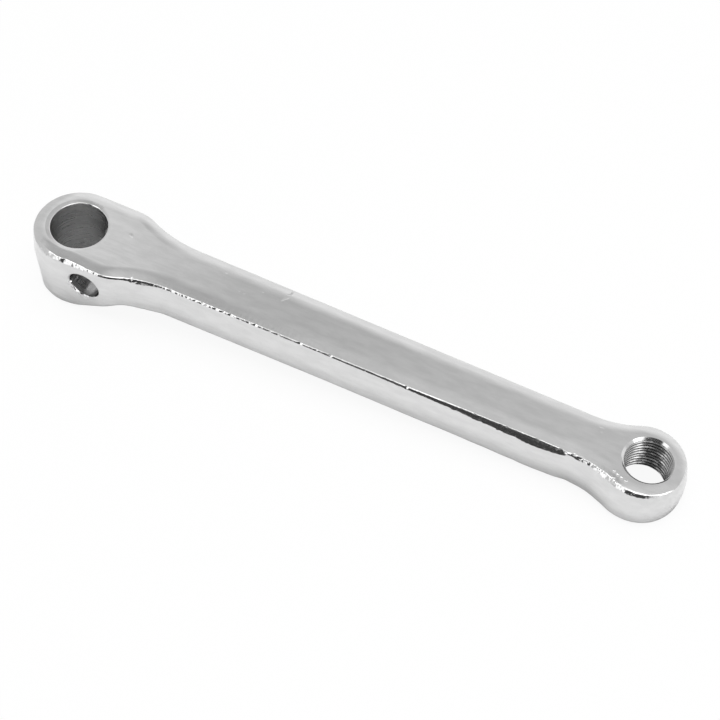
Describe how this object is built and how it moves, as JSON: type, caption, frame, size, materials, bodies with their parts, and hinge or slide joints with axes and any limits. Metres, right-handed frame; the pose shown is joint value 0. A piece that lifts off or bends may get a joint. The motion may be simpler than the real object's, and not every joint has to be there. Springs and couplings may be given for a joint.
{
  "type": "bicycle crank arm",
  "caption": "Forged, chrome-plated left crank arm for a cottered bicycle spindle: a deep bored head with a cross hole for its cotter, a tapered arm and a threaded pedal eye.",
  "frame": {"origin": "on the spindle axis, at the inner face of the boss, which faces the bicycle", "axes": "+X along the arm from the spindle axis to the pedal axis, +Z along the spindle to the outer face, +Y across the arm along the cotter"},
  "size_m": [0.1942, 0.0262, 0.0216],
  "materials": {
    "chrome_plate": "polished chrome plate over ground forged steel, with small nicks along the edges and bare satin steel in the bores"
  },
  "bodies": {
    "root": {"crank_arm": "chrome_plate"}
  },
  "joints": []
}
